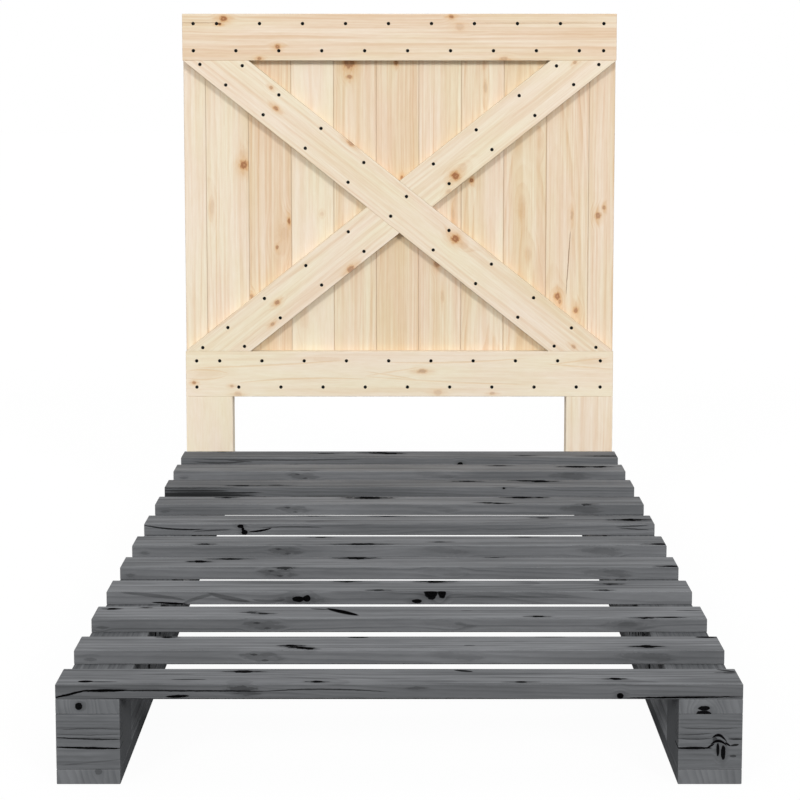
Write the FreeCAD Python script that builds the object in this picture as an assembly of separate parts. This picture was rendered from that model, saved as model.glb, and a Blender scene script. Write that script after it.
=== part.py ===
import FreeCAD, Part
import math
import os

# A single bed frame of pine, 900 by 2000 mm of slatted platform, with a headboard.
# The foot end is at the lowest Y, the headboard at the highest, and Z is up.
# The origin is at floor level under the middle of the whole outline.
# All sizes are millimetres.

# Overall sizes
bed_width = 900.0
bed_length = 2000.0
edge_ease = 1.2
ease_limit_share = 0.3

# Platform: slats laid across two hollow runners, each runner in a front and a rear half
slat_width = 86.0
slat_thickness = 20.0
front_slat_shares = (0.0, 0.193, 0.392, 0.583, 0.773)
rear_slat_shares = (0.158, 0.357, 0.548, 0.738)
runner_width = 84.0
runner_board_thickness = 20.0
core_height = 74.5
block_length = 140.0
side_board_thickness = 20.0

# Headboard: upright planks held by two battens in front and two legs with long laps behind
headboard_side_inset = 5.0
headboard_height = 1040.0
headboard_bottom = 250.0
batten_height = 95.0
batten_thickness = 20.0
plank_thickness = 20.0
lap_thickness = 20.0
lap_drop = 20.0
plank_width = 88.0
first_plank_width = 45.0
least_plank_width = 20.0
leg_width = 97.0

# Crossed braces: one long board, and two shorter ones that butt against it
brace_width = 84.0
brace_thickness = 20.0

# Countersunk wood screw
screw_head_diameter = 7.0
screw_shank_diameter = 4.0
screw_point_length = 4.0
screw_sink = 0.3
recess_length = 4.2
recess_width = 1.0
recess_depth = 1.1
hole_clearance = 0.15
cut_overrun = 5.0

# Where the screws sit
slat_screw_length = 35.0
slat_screw_spacing = 44.0
runner_screw_length = 45.0
runner_screw_spacing = 44.0
side_screw_inset = 60.0
batten_screw_length = 35.0
batten_screw_inset = 20.0
brace_screw_inset = 16.0
lap_screw_length = 35.0
lap_screw_spacing = 50.0
plank_middle_share = 0.5
seat_share = 0.9
upper_row_share = 0.29
lower_row_share = 0.735
near_row_first_shares = (0.79, 0.49, 0.36)
near_row_middle_share = 0.34
near_row_last_share = 0.205
far_row_first_shares = (0.88, 0.73)
far_row_middle_share = 0.71
far_row_last_shares = (0.61, 0.32)
lap_level_shares = (0.25, 0.5, 0.75)

# Dowels between the blocks and the runner's top board
dowel_diameter = 8.0
dowel_length = 40.0
dowel_depth_in_board = 15.0
dowel_inset = 35.0
dowel_bevel = 1.0

# Flat steel plates that join the two halves of each runner
plate_length = 140.0
plate_height = 40.0
plate_thickness = 2.5
plate_corner_radius = 6.0
plate_screw_length = 25.0
plate_screw_spacing = 30.0
plate_screw_inset = 18.0

# Coach screws that hold the headboard's legs to the rear blocks
coach_shank_diameter = 8.0
coach_length = 118.0
coach_point_length = 8.0
coach_head_width = 13.0
coach_head_height = 5.5
coach_flange_diameter = 18.0
coach_flange_thickness = 1.5
coach_spacing = 44.0
counterbore_margin = 1.0

# Worked-out sizes
half_length = bed_length / 2
headboard_depth = batten_thickness + plank_thickness + lap_thickness
foot_y = -(bed_length + headboard_depth) / 2
joint_y = foot_y + half_length
rear_y = foot_y + bed_length
core_z = runner_board_thickness
top_board_z = core_z + core_height
slat_z = top_board_z + runner_board_thickness
runner_middle_x = (bed_width - runner_width) / 2
runner_inner_x = bed_width / 2 - runner_width
core_middle_z = core_z + core_height / 2

headboard_width = bed_width - 2 * headboard_side_inset
headboard_half = headboard_width / 2
planks_y = rear_y + batten_thickness
lap_y = planks_y + plank_thickness
back_y = lap_y + lap_thickness
field_bottom = headboard_bottom + batten_height
field_top = headboard_height - batten_height
field_height = field_top - field_bottom
field_diagonal = math.hypot(headboard_width, field_height)
brace_angle = math.atan2(field_height, headboard_width) + math.asin(brace_width / field_diagonal)
brace_cut = brace_width / math.sin(brace_angle)

origin = FreeCAD.Vector(0, 0, 0)
east = FreeCAD.Vector(1, 0, 0)
west = FreeCAD.Vector(-1, 0, 0)
north = FreeCAD.Vector(0, 1, 0)
south = FreeCAD.Vector(0, -1, 0)
up = FreeCAD.Vector(0, 0, 1)
down = FreeCAD.Vector(0, 0, -1)
full_turn = 360
hexagon_sides = 6


def eased(solid):
    """Round the sharp edges of a sawn board, by less than its thickness allows."""
    box = solid.BoundBox
    thinnest = min(box.XLength, box.YLength, box.ZLength)
    radius = min(edge_ease, thinnest * ease_limit_share)
    return solid.makeFillet(radius, solid.Edges)


def edges_along(solid, direction):
    """Straight edges of a box that run along one axis."""
    found = []
    for edge in solid.Edges:
        run = edge.Vertexes[-1].Point - edge.Vertexes[0].Point
        if run.cross(direction).Length < run.Length / 2:
            found.append(edge)
    return found


def board(x, y, z, width, length, height):
    """Rectangular board with its lowest corner at x, y, z."""
    return eased(Part.makeBox(width, length, height, FreeCAD.Vector(x, y, z)))


def upright_panel(corners, y, thickness):
    """Flat board standing across the bed, from x and z corner pairs."""
    points = [FreeCAD.Vector(x, y, z) for x, z in corners]
    wire = Part.makePolygon(points + points[:1])
    return Part.Face(wire).extrude(north * thickness)


def turned(outline):
    """Round solid about the Z axis, from radius and height pairs."""
    points = [FreeCAD.Vector(radius, 0, height) for radius, height in outline]
    wire = Part.makePolygon(points + points[:1])
    return Part.Face(wire).revolve(origin, up, full_turn)


def placed(shape, point, direction):
    """Copy of a shape drawn pointing down from the origin, set at a point and pointing another way."""
    copy = shape.copy()
    copy.Placement = FreeCAD.Placement(point, FreeCAD.Rotation(down, direction))
    return copy


def wood_screw(length):
    """Countersunk screw with a cross recess, its head's face at the origin."""
    head = screw_head_diameter / 2
    shank = screw_shank_diameter / 2
    body = turned([
        (0, 0),
        (head, 0),
        (shank, shank - head),
        (shank, screw_point_length - length),
        (0, -length),
    ])
    bars = []
    for width, depth in ((recess_length, recess_width), (recess_width, recess_length)):
        corner = FreeCAD.Vector(-width / 2, -depth / 2, -recess_depth)
        bars.append(Part.makeBox(width, depth, recess_depth + cut_overrun, corner))
    return body.cut(bars)


def wood_screw_hole(length):
    """Room for a countersunk screw that is sunk a little below the board's face."""
    head = screw_head_diameter / 2 + hole_clearance
    shank = screw_shank_diameter / 2 + hole_clearance
    return turned([
        (0, screw_sink),
        (head, screw_sink),
        (head, 0),
        (shank, shank - head),
        (shank, -length - hole_clearance),
        (0, -length - hole_clearance),
    ])


def set_screws(places, direction, length):
    """Screws and their holes at a list of points on a board's face."""
    screw = wood_screw(length)
    hole = wood_screw_hole(length)
    screws = []
    holes = []
    for place in places:
        seat = place + direction * screw_sink
        screws.append(placed(screw, seat, direction))
        holes.append(placed(hole, seat, direction))
    return screws, holes


def drilled(solid, holes):
    """Board with every hole cut that reaches into it."""
    near = [hole for hole in holes if solid.BoundBox.intersect(hole.BoundBox)]
    if not near:
        return solid
    return solid.cut(near)


def slat_places():
    """Distance of each slat's front face from the foot end."""
    front = [half_length * share for share in front_slat_shares]
    middle = [half_length - slat_width / 2]
    rear = [half_length + half_length * share for share in rear_slat_shares]
    return front + middle + rear + [bed_length - slat_width]


def plank_edges():
    """X of each plank's left edge, and at the end the headboard's right edge."""
    edges = [-headboard_half, first_plank_width - headboard_half]
    while edges[-1] + plank_width + least_plank_width <= headboard_half:
        edges.append(edges[-1] + plank_width)
    return edges + [headboard_half]


def runner_halves():
    """Side name, side sign, half name and lowest Y of the four runner halves."""
    for side, sign in (("left", -1), ("right", 1)):
        for half, y in (("front", foot_y), ("rear", joint_y)):
            yield side, sign, half, y


def make_slats():
    nodes = {}
    for count, place in enumerate(slat_places(), start=1):
        name = "slat_%02d" % count
        nodes[name] = board(
            -bed_width / 2, foot_y + place, slat_z, bed_width, slat_width, slat_thickness
        )
    return nodes


def make_runner_half(side, sign, half, y):
    """Top and bottom board, a block at each end, and a side board in and out between them."""
    prefix = "%s_%s_" % (side, half)
    end_name = "foot" if half == "front" else "head"
    far_y = y + half_length - block_length
    first_name, second_name = ("joint", end_name) if half == "rear" else (end_name, "joint")
    x = sign * runner_middle_x - runner_width / 2
    inner_x = sign * (runner_inner_x + side_board_thickness / 2) - side_board_thickness / 2
    outer_x = sign * (bed_width - side_board_thickness) / 2 - side_board_thickness / 2
    gap = half_length - 2 * block_length
    return {
        prefix + "bottom_board": board(
            x, y, 0, runner_width, half_length, runner_board_thickness
        ),
        prefix + "top_board": board(
            x, y, top_board_z, runner_width, half_length, runner_board_thickness
        ),
        prefix + first_name + "_block": board(
            x, y, core_z, runner_width, block_length, core_height
        ),
        prefix + second_name + "_block": board(
            x, far_y, core_z, runner_width, block_length, core_height
        ),
        prefix + "inner_side": board(
            inner_x, y + block_length, core_z, side_board_thickness, gap, core_height
        ),
        prefix + "outer_side": board(
            outer_x, y + block_length, core_z, side_board_thickness, gap, core_height
        ),
    }


def make_planks():
    nodes = {}
    edges = plank_edges()
    height = headboard_height - headboard_bottom
    for count, (left, right) in enumerate(zip(edges, edges[1:]), start=1):
        name = "headboard_plank_%02d" % count
        nodes[name] = board(
            left, planks_y, headboard_bottom, right - left, plank_thickness, height
        )
    return nodes


def make_battens():
    nodes = {}
    for name, z in (("headboard_bottom_batten", headboard_bottom), ("headboard_top_batten", field_top)):
        nodes[name] = board(
            -headboard_half, rear_y, z, headboard_width, batten_thickness, batten_height
        )
    return nodes


def make_braces():
    """The long brace falls to the right, and the rising one is in two parts beside it."""
    inner_corner = headboard_half - brace_cut
    y = planks_y - brace_thickness
    falling = upright_panel(
        [
            (-headboard_half, field_top),
            (-inner_corner, field_top),
            (headboard_half, field_bottom),
            (inner_corner, field_bottom),
        ],
        y,
        brace_thickness,
    )
    rising = upright_panel(
        [
            (-headboard_half, field_bottom),
            (-inner_corner, field_bottom),
            (headboard_half, field_top),
            (inner_corner, field_top),
        ],
        y,
        brace_thickness,
    )
    parts = sorted(rising.cut(falling).Solids, key=lambda solid: solid.CenterOfMass.z)
    return {
        "brace_long": eased(falling),
        "brace_lower": eased(parts[0]),
        "brace_upper": eased(parts[-1]),
    }


def make_legs():
    """Each leg is full depth up to the bottom batten, and above it a lap runs behind the planks."""
    nodes = {}
    for side, x in (("left", -headboard_half), ("right", headboard_half - leg_width)):
        foot = Part.makeBox(
            leg_width, headboard_depth, headboard_bottom, FreeCAD.Vector(x, rear_y, 0)
        )
        lap = Part.makeBox(
            leg_width, lap_thickness, headboard_height - lap_drop, FreeCAD.Vector(x, lap_y, 0)
        )
        leg = foot.fuse(lap).removeSplitter()
        nodes["headboard_leg_" + side] = eased(leg)
    return nodes


def slat_screw_places():
    """Two screws at each end of a slat, driven up through the runner's top board.

    The middle slat has one of each pair in the front half and one in the rear half.
    """
    places = []
    half_spacing = slat_screw_spacing / 2
    middle_slat = len(front_slat_shares)
    for count, place in enumerate(slat_places()):
        y = foot_y + place + slat_width / 2
        for x in (-runner_middle_x, runner_middle_x):
            for step in (-half_spacing, half_spacing):
                along = step if count == middle_slat else 0
                places.append(FreeCAD.Vector(x + step, y + along, top_board_z))
    return places


def runner_screw_places():
    """Screws driven up through the bottom boards, into the blocks and the side boards."""
    places = []
    half_spacing = runner_screw_spacing / 2
    for side, sign, half, y in runner_halves():
        block_middles = (y + block_length / 2, y + half_length - block_length / 2)
        side_places = (
            y + block_length + side_screw_inset,
            y + half_length - block_length - side_screw_inset,
        )
        inner_x = sign * (runner_inner_x + side_board_thickness / 2)
        outer_x = sign * (bed_width - side_board_thickness) / 2
        for block_y in block_middles:
            for step in (-half_spacing, half_spacing):
                places.append(FreeCAD.Vector(sign * runner_middle_x + step, block_y, 0))
        for side_y in side_places:
            places.append(FreeCAD.Vector(inner_x, side_y, 0))
            places.append(FreeCAD.Vector(outer_x, side_y, 0))
    return places


def batten_screw_places():
    """An upper and a lower row along each batten, with one screw of each row in each plank."""
    places = []
    edges = plank_edges()
    last = len(edges) - 2
    for bottom in (headboard_bottom, field_top):
        upper_z = bottom + batten_height - batten_screw_inset
        lower_z = bottom + batten_screw_inset
        for z, share in ((upper_z, upper_row_share), (lower_z, lower_row_share)):
            for count, (left, right) in enumerate(zip(edges, edges[1:])):
                used = plank_middle_share if count in (0, last) else share
                places.append(FreeCAD.Vector(left + (right - left) * used, rear_y, z))
    return places


def brace_rows():
    """X places of the two screw rows, the near row starting in the first plank."""
    edges = plank_edges()
    spans = list(zip(edges, edges[1:]))
    near_spans = spans[:-1]
    far_spans = spans[1:]
    near_middles = len(near_spans) - len(near_row_first_shares) - 1
    near_shares = list(near_row_first_shares) + [near_row_middle_share] * near_middles
    near_shares.append(near_row_last_share)
    far_middles = len(far_spans) - len(far_row_first_shares) - len(far_row_last_shares)
    far_shares = list(far_row_first_shares) + [far_row_middle_share] * far_middles
    far_shares += far_row_last_shares
    near = [left + (right - left) * share for (left, right), share in zip(near_spans, near_shares)]
    far = [left + (right - left) * share for (left, right), share in zip(far_spans, far_shares)]
    return near, far


def brace_screw_places(braces):
    """Screws along both long edges of each brace, kept where the brace is under them."""
    near, far = brace_rows()
    slope = math.tan(brace_angle)
    rise = brace_screw_inset / math.cos(brace_angle)
    half_field = field_height / 2
    middle_z = field_bottom + half_field
    half_cut = brace_cut / 2 * slope
    falling = []
    rising = []
    for x in near:
        falling.append((x, middle_z - x * slope - half_cut + rise))
        rising.append((x, middle_z + x * slope + half_cut - rise))
    for x in far:
        falling.append((x, middle_z - x * slope + half_cut - rise))
        rising.append((x, middle_z + x * slope - half_cut + rise))
    long_ones = [braces["brace_long"]]
    short_ones = [braces["brace_lower"], braces["brace_upper"]]
    y = planks_y - brace_thickness
    size = screw_head_diameter
    places = []
    for spots, carriers in ((falling, long_ones), (rising, short_ones)):
        for x, z in spots:
            corner = FreeCAD.Vector(x - size / 2, y, z - size / 2)
            probe = Part.makeBox(size, brace_thickness, size, corner)
            covered = sum(carrier.common(probe).Volume for carrier in carriers)
            if covered > probe.Volume * seat_share:
                places.append(FreeCAD.Vector(x, y, z))
    return places


def lap_screw_places():
    """Pairs of screws from behind, through the laps into the planks."""
    levels = [headboard_bottom + batten_height / 2, field_top + batten_height / 2]
    levels += [field_bottom + field_height * share for share in lap_level_shares]
    middle_x = headboard_half - leg_width / 2
    places = []
    for x in (-middle_x, middle_x):
        for z in levels:
            for step in (-lap_screw_spacing / 2, lap_screw_spacing / 2):
                places.append(FreeCAD.Vector(x + step, back_y, z))
    return places


def make_dowels():
    """Two dowels stand in the top of each block and reach into the runner's top board."""
    radius = dowel_diameter / 2
    inner = radius - dowel_bevel
    shape = turned([
        (0, 0),
        (inner, 0),
        (radius, -dowel_bevel),
        (radius, dowel_bevel - dowel_length),
        (inner, -dowel_length),
        (0, -dowel_length),
    ])
    room = radius + hole_clearance
    hole = turned([
        (0, hole_clearance),
        (room, hole_clearance),
        (room, -dowel_length - hole_clearance),
        (0, -dowel_length - hole_clearance),
    ])
    dowels = []
    holes = []
    z = top_board_z + dowel_depth_in_board
    for side, sign, half, y in runner_halves():
        for block_y in (y, y + half_length - block_length):
            for step in (dowel_inset, block_length - dowel_inset):
                point = FreeCAD.Vector(sign * runner_middle_x, block_y + step, z)
                dowels.append(placed(shape, point, down))
                holes.append(placed(hole, point, down))
    return dowels, holes


def make_joining_plates():
    """One flat plate on the inner face of each runner, across the joint of its halves."""
    plates = []
    screws = []
    holes = []
    reach = plate_length / 2 - plate_screw_inset
    for sign, direction in ((-1, west), (1, east)):
        face_x = sign * runner_inner_x
        inner_x = face_x - sign * plate_thickness
        corner = FreeCAD.Vector(
            min(face_x, inner_x), joint_y - plate_length / 2, core_middle_z - plate_height / 2
        )
        plate = Part.makeBox(plate_thickness, plate_length, plate_height, corner)
        plate = plate.makeFillet(plate_corner_radius, edges_along(plate, east))
        places = []
        for step in (-reach, plate_screw_spacing - reach, reach - plate_screw_spacing, reach):
            places.append(FreeCAD.Vector(inner_x, joint_y + step, core_middle_z))
        set_ones, set_holes = set_screws(places, direction, plate_screw_length)
        plates.append(drilled(plate, set_holes))
        screws += set_ones
        holes += set_holes
    return plates, screws, holes


def make_coach_screws():
    """Hexagon headed screws through the legs, with their heads sunk into the legs' backs."""
    corner_radius = coach_head_width / 2 / math.cos(math.pi / hexagon_sides)
    shank = coach_shank_diameter / 2
    flange = coach_flange_diameter / 2
    points = []
    for count in range(hexagon_sides + 1):
        angle = 2 * math.pi * count / hexagon_sides
        points.append(FreeCAD.Vector(corner_radius * math.cos(angle), corner_radius * math.sin(angle), 0))
    head = Part.Face(Part.makePolygon(points)).extrude(up * coach_head_height)
    stem = turned([
        (0, 0),
        (flange, 0),
        (flange, -coach_flange_thickness),
        (shank, -coach_flange_thickness),
        (shank, coach_point_length - coach_length),
        (0, -coach_length),
    ])
    screw = head.fuse(stem).removeSplitter()
    sunk = coach_head_height + counterbore_margin
    wide = flange + hole_clearance
    narrow = shank + hole_clearance
    hole = turned([
        (0, sunk + cut_overrun),
        (wide, sunk + cut_overrun),
        (wide, -coach_flange_thickness),
        (narrow, -coach_flange_thickness),
        (narrow, -coach_length - hole_clearance),
        (0, -coach_length - hole_clearance),
    ])
    screws = []
    holes = []
    lap_middle = (runner_inner_x + headboard_half) / 2
    for side_x in (-lap_middle, lap_middle):
        for step in (-coach_spacing / 2, coach_spacing / 2):
            point = FreeCAD.Vector(side_x + step, back_y - sunk, core_middle_z)
            screws.append(placed(screw, point, south))
            holes.append(placed(hole, point, south))
    return screws, holes


def make_bed():
    """All nodes by name. A group node is a list of solids."""
    boards = make_slats()
    for side, sign, half, y in runner_halves():
        boards.update(make_runner_half(side, sign, half, y))
    boards.update(make_planks())
    boards.update(make_battens())
    braces = make_braces()
    boards.update(braces)
    boards.update(make_legs())

    slat_screws, slat_holes = set_screws(slat_screw_places(), up, slat_screw_length)
    runner_screws, runner_holes = set_screws(runner_screw_places(), up, runner_screw_length)
    front_places = batten_screw_places() + brace_screw_places(braces)
    front_screws, front_holes = set_screws(front_places, north, batten_screw_length)
    lap_screws, lap_holes = set_screws(lap_screw_places(), south, lap_screw_length)
    dowels, dowel_holes = make_dowels()
    plates, plate_screws, plate_holes = make_joining_plates()
    coach_screws, coach_holes = make_coach_screws()

    holes = slat_holes + runner_holes + front_holes + lap_holes
    holes += dowel_holes + plate_holes + coach_holes
    nodes = {name: [drilled(solid, holes)] for name, solid in boards.items()}
    nodes["slat_screws"] = slat_screws
    nodes["runner_screws"] = runner_screws
    nodes["headboard_screws"] = front_screws + lap_screws
    nodes["runner_dowels"] = dowels
    nodes["joining_plates"] = plates
    nodes["joining_plate_screws"] = plate_screws
    nodes["headboard_coach_screws"] = coach_screws
    return nodes


def save(nodes):
    """Write one file for each node, and print how many solids each holds."""
    os.makedirs("parts", exist_ok=True)
    for name, solids in nodes.items():
        shape = solids[0] if len(solids) == 1 else Part.makeCompound(solids)
        shape.exportStep(os.path.join("parts", name + ".step"))
        print(name, len(shape.Solids), "solids", shape.isValid())
    print(len(nodes), "nodes")


save(make_bed())
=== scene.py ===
"""Looks of the slatted bed frame: grey stained pine platform, bare pine headboard, black screws.

Every visible piece is a CAD node. This script gives each board its own wood, cut from one
three-dimensional pattern of growth rings, so faces, edges and end grain of a board agree.
Places and sizes are in millimetres in the bed's own frame unless a comment says otherwise.
Left and right are as seen from the foot end.
"""
import math

import bpy
from mathutils import Matrix, Vector


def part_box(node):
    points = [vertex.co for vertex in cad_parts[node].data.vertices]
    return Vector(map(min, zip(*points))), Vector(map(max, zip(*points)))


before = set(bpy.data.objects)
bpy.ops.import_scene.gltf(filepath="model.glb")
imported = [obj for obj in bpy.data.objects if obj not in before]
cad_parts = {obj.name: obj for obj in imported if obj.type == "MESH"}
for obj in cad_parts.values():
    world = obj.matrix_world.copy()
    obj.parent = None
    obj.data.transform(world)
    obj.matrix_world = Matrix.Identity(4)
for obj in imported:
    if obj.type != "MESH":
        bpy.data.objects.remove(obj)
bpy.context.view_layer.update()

MM_PER_M = 1000.0

# Camera, fitted to the outlines in the photograph. Place in metres, tilt in degrees from
# straight down.
CAMERA_PLACE = (0.0011, -4.2477, 0.9386)
CAMERA_TILT = 90.0 - 7.596
CAMERA_LENS = 113.47

# Light, at a level where a pale board renders as its colour is written. Angles in degrees.
SKY_STRENGTH = 0.55
KEY_STRENGTH = 1.04
KEY_TILT = 68.0
KEY_SPREAD = 25.0
KEY_ANGLE = 12.0
TOP_STRENGTH = 0.20
TOP_ANGLE = 100.0

# Floor: its side and how far it lies under the bed in metres, and how the camera sees it.
FLOOR_SIZE = 60.0
FLOOR_DROP = 0.0005
FLOOR_COLOUR = (0.50, 0.50, 0.50, 1.0)
FLOOR_SHADOW_SHARE = 0.05
FLOOR_GLOW = 1.01

# Colours, linear.
WHITE = (1.0, 1.0, 1.0, 1.0)
PINE_PALE = (0.862, 0.768, 0.630, 1.0)
PINE_WARM = (0.780, 0.622, 0.452, 1.0)
PINE_LATE = (0.690, 0.450, 0.255, 1.0)
PINE_HONEY = (0.740, 0.480, 0.245, 1.0)
PINE_CRACK = (0.250, 0.125, 0.070, 1.0)
PINE_ROSY = (1.010, 0.975, 0.965, 1.0)
PINE_SUNNY = (0.995, 1.000, 0.930, 1.0)
# Painted shade: a bare pine board's narrow faces are multiplied by this.
PINE_SIDE_SHADE = (0.76, 0.74, 0.72, 1.0)
PINE_END = (0.80, 0.72, 0.62, 1.0)
KNOT_BODY = (0.330, 0.125, 0.048, 1.0)
KNOT_PALE = (0.630, 0.340, 0.150, 1.0)
KNOT_RIM = (0.430, 0.190, 0.075, 1.0)
KNOT_BLACK = (0.060, 0.030, 0.020, 1.0)
JOINT_BROWN = (0.420, 0.235, 0.125, 1.0)
GREY_PALE = (0.268, 0.275, 0.287, 1.0)
GREY_DARK = (0.142, 0.147, 0.154, 1.0)
GREY_LATE = (0.040, 0.041, 0.044, 1.0)
GREY_WORN = (0.250, 0.253, 0.262, 1.0)
GREY_BLACK = (0.0020, 0.0020, 0.0022, 1.0)
# Painted shade: a grey board's narrow faces, such as a slat's front edge, are multiplied by this.
GREY_SIDE_SHADE = (0.58, 0.58, 0.58, 1.0)
GREY_END = (0.56, 0.56, 0.56, 1.0)
SCREW_BLACK = (0.004, 0.004, 0.004, 1.0)
# Painted shade: the zinc-plated joining plates are coloured near black, as shade where they show
# between the slats.
PLATE_SHADE_BLACK = (0.030, 0.031, 0.034, 1.0)
ZINC = (0.62, 0.63, 0.65, 1.0)

# Patterns in the wood: the size of a patch along the grain and across it, then the noise's
# detail and roughness.
SLOW_BENDS = (430, 170, 1.0, 0.5)
QUICK_BENDS = (75, 26, 2.0, 0.5)
FIBRES = (60, 1.1, 2.0, 0.65)
GRAIN = (34, 5.5, 3.0, 0.65)
STREAKS = (520, 9, 2.0, 0.6)
LINES = (380, 3.6, 2.0, 0.6)
PATCHES = (260, 55, 1.0, 0.5)
WOBBLES = (10, 5, 3.0, 0.65)

# Below, a SPAN is where a value is 0 and where it is 1, and a pair BY a pattern is how fast a
# value rises with that pattern and where it starts.

# Growth rings. Each ring darkens slowly over its late wood and ends soon after, and chance
# makes some rings stronger than others.
QUICK_BEND_REACH = 3.6
RING_UNEVEN_RATE = 0.23
RING_UNEVEN = 2.2
RING_LATE_SPAN = (0.20, 0.88)
RING_END_SPAN = (1.0, 0.90)
RING_BY_CHANCE = (0.75, 0.25)
STREAK_SPAN = (0.33, 0.67)
LINE_SPAN = (0.56, 0.74)
PATCH_SPAN = (0.30, 0.70)

# Knots. A shape is the share of the distance that counts in each direction, so a smaller
# number reaches further. The push draws the rings' place to the knot, which parts the grain.
WOBBLE_REACH = 1.5
KNOT_TAIL_SHAPE = (0.38, 1.9, 1.0)
KNOT_TAIL_SPAN = (1.0, 0.6)
KNOT_HALO_SHAPE = (0.40, 0.55, 0.55)
KNOT_HALO_SPAN = (1.25, 0.35)
KNOT_PUSH_SHAPE = (0.36, 0.42, 0.30)
KNOT_PUSH_SPAN = (1.35, 0.0)
KNOT_PUSH = -0.85
KNOT_RING_RATE = 17.0
FAR_FROM_KNOTS = 3.0

# Cracks: the share of their width at the middle, the least width and how softly they end.
CRACK_MIDDLE_WIDTH = 1.15
CRACK_LEAST_WIDTH = 0.05
CRACK_EDGE_SPAN = (1.2, 0.6)
CRACK_END_SPAN = (1.0, 0.75)
CRACK_FULL_DEPTH = 0.8

# A point lies on a board's face when it is this near to it, and on its edge within the reach.
FACE_SPAN = (0.9, 0.3)
EDGE_REACH = 2.5
# How much quieter the grain is on a board's narrow faces than on its broad ones.
SIDE_CALM = 0.45

# Bare pine.
PINE_STREAK_WARMTH = 0.70
PINE_PATCH_WARMTH = 0.38
PINE_COOLER = 0.53
PINE_RING_BY_STREAK = (0.45, 0.22)
PINE_RING_BY_TONE = (0.95, 0.28)
PINE_LINE = 0.38
PINE_HALO = 0.55
PINE_KNOT_RINGS = 0.15
KNOT_RAMP_SCALE = 0.8
KNOT_RAMP = [
    (0.0, KNOT_PALE), (0.24, KNOT_BODY), (0.40, KNOT_BODY), (0.55, KNOT_PALE),
    (0.74, PINE_HONEY), (1.0, PINE_HONEY),
]
PINE_BLACK_KNOT_SPAN = (0.93, 1.0)
PINE_FAINT_KNOT_SPAN = (0.12, 0.50)
PINE_FAINT_CRACK_SPAN = (0.40, 0.75)
PINE_SHADE_BY_FIBRE = (0.12, 0.94)
PINE_SHADE_BY_GRAIN = (0.16, 0.92)
PINE_SHADE_IN_RED = 0.6
PINE_SHADE_IN_BLUE = 1.8
PINE_ROUGHNESS_BY_FIBRE = (0.16, 0.50)
PINE_KNOT_ROUGHNESS = -0.14
PINE_RELIEF = {"Fibre": 0.05, "Ring": 0.05, "Crack": -0.30, "Core": 0.06}
PINE_GLOSS = 0.04

# Grey stain.
GREY_STREAK_DEPTH = 0.52
GREY_PATCH_DEPTH = 0.42
GREY_PALER = 0.32
GREY_FULL_TONE = 1.0
GREY_RING_BY_STREAK = (0.34, 0.13)
GREY_RING_BY_CALM = (0.15, 1.0)
GREY_LINE = 0.50
GREY_HALO = 0.34
GREY_WEAR = 0.35
GREY_WEAR_SPAN = (0.35, 0.75)
GREY_KNOT_RINGS = 0.12
GREY_KNOT_SPAN = (0.0, 0.90)
GREY_SHADE_BY_FIBRE = (0.20, 0.90)
GREY_SHADE_BY_GRAIN = (0.44, 0.78)
GREY_SHADE_BY_CALM = (-0.8, 1.0)
GREY_ROUGHNESS_BY_FIBRE = (0.18, 0.52)
GREY_RELIEF = {"Fibre": 0.06, "Ring": 0.06, "Crack": -0.40}
GREY_GLOSS = 0.0

# Metal: mottling in patches per metre with its detail, and how much its darker patches keep.
METAL_FINE = (900.0, 3.0)
METAL_BROAD = (140.0, 2.0)
METAL_BROAD_SPAN = (0.35, 0.7)
METAL_DARKER = 0.72
METAL_SPECULAR = 0.15
METAL_RELIEF = 0.4

# How far a height of 1 stands out, in metres.
WOOD_HEIGHT = 0.001
METAL_HEIGHT = 0.0001


# What the patterns and knots hand to a finish, and what a finish gives back.
RING_VALUES = "Ring Fibre Streak Line Patch Blush Grain"
KNOT_VALUES = "Core Halo Eye"
OTHER_VALUES = "Calm Crack Edge Side End Tone Joint"
FINISH_INPUTS = {"values": f"{RING_VALUES} {KNOT_VALUES} {OTHER_VALUES}"}
FINISH_OUTPUTS = {"colours": "Color", "values": "Roughness Height"}


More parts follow.
